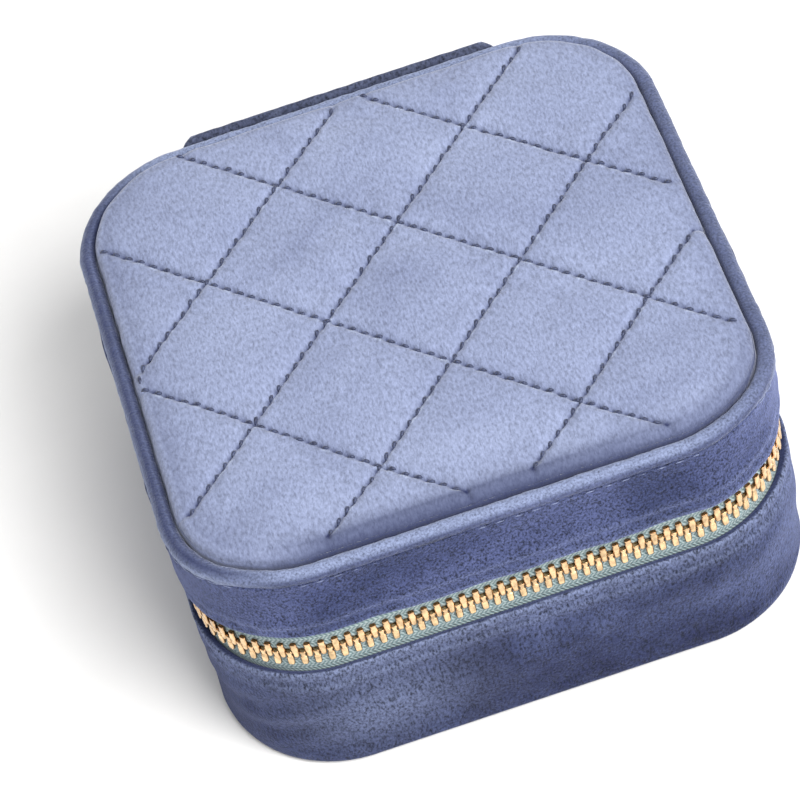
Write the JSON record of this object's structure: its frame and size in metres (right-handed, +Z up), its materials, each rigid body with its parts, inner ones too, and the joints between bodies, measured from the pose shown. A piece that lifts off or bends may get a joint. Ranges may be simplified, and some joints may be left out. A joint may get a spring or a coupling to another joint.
{
  "type": "travel jewelry case",
  "caption": "Square velvet travel jewelry case with a quilted lid, metal zip on three sides, fabric hinge, lid mirror, ring rolls and loose dividers.",
  "frame": {"origin": "middle of the bottom face, under the centre of the case without its hinge panel and zip pull", "axes": "+Z up through the lid, +Y towards the hinge at the back, +X to the right seen from the front of the closed case"},
  "size_m": [0.1, 0.1016, 0.052],
  "materials": {
    "velvet": "short pile velvet, dusty blue",
    "lining": "fine microfibre suede, dusty blue",
    "board": "grey-brown box board, hidden",
    "foam": "soft foam sheet, hidden",
    "zip_tape": "woven zip tape, teal",
    "zip_metal": "pale gold plating, polished",
    "mirror": "silvered glass"
  },
  "bodies": {
    "base": {"base_bottom_velvet": "velvet", "base_bottom_board": "board", "base_wall_board": "board", "base_side_velvet": "velvet", "base_lining": "lining", "base_floor_pad": "lining", "tray_partition": "lining", "ring_roll_1": "lining", "ring_roll_2": "lining", "ring_roll_3": "lining", "ring_roll_4": "lining", "ring_roll_5": "lining", "ring_roll_6": "lining", "ring_roll_7": "lining", "zip_tape_lower": "zip_tape", "zip_teeth_lower": "zip_metal", "zip_top_stop_lower": "zip_metal", "zip_bottom_stop": "zip_metal", "hinge_panel": "velvet", "hinge_lining": "lining"},
    "lid": {"lid_wall_board": "board", "lid_top_board": "board", "lid_side_velvet": "velvet", "lid_lining": "lining", "lid_piping": "velvet", "quilt_foam": "foam", "quilted_panel": "velvet", "mirror_surround": "foam", "mirror_backing": "board", "mirror_glass": "mirror", "mirror_frame": "lining", "zip_tape_upper": "zip_tape", "zip_teeth_upper": "zip_metal", "zip_top_stop_upper": "zip_metal"},
    "slider": {"zip_slider": "zip_metal"},
    "ring": {"pull_ring": "zip_metal"},
    "tab": {"pull_tab": "zip_metal"},
    "front_divider": {"divider_front": "lining"},
    "rear_divider": {"divider_rear": "lining"}
  },
  "joints": [
    {"name": "lid_hinge", "type": "hinge", "parent": "base", "child": "lid", "pos_m": [0, 0.051, 0.0305], "axis": [-1, 0, 0], "range_deg": [0, 105], "deforming": ["hinge_panel", "hinge_lining", "zip_tape_upper", "zip_teeth_upper"]},
    {"name": "zip_slider_travel", "type": "hinge", "parent": "base", "child": "slider", "pos_m": [0.029, 0.029, 0.0305], "axis": [0, 0, -1], "range_deg": [0, 48], "deforming": ["zip_tape_lower", "zip_teeth_lower"]},
    {"name": "pull_ring_swing", "type": "hinge", "parent": "slider", "child": "ring", "pos_m": [0.04402, 0.04823, 0.0305], "axis": [0.788, -0.6157, 0], "range_deg": [-5, 100]},
    {"name": "pull_tab_swing", "type": "hinge", "parent": "ring", "child": "tab", "pos_m": [0.04402, 0.04823, 0.02725], "axis": [0.6157, 0.788, 0], "range_deg": [-60, 60]},
    {"name": "divider_front_lift", "type": "slide", "parent": "base", "child": "front_divider", "axis": [0, 0, 1], "range_m": [0, 0.02]},
    {"name": "divider_rear_lift", "type": "slide", "parent": "base", "child": "rear_divider", "axis": [0, 0, 1], "range_m": [0, 0.02]}
  ]
}
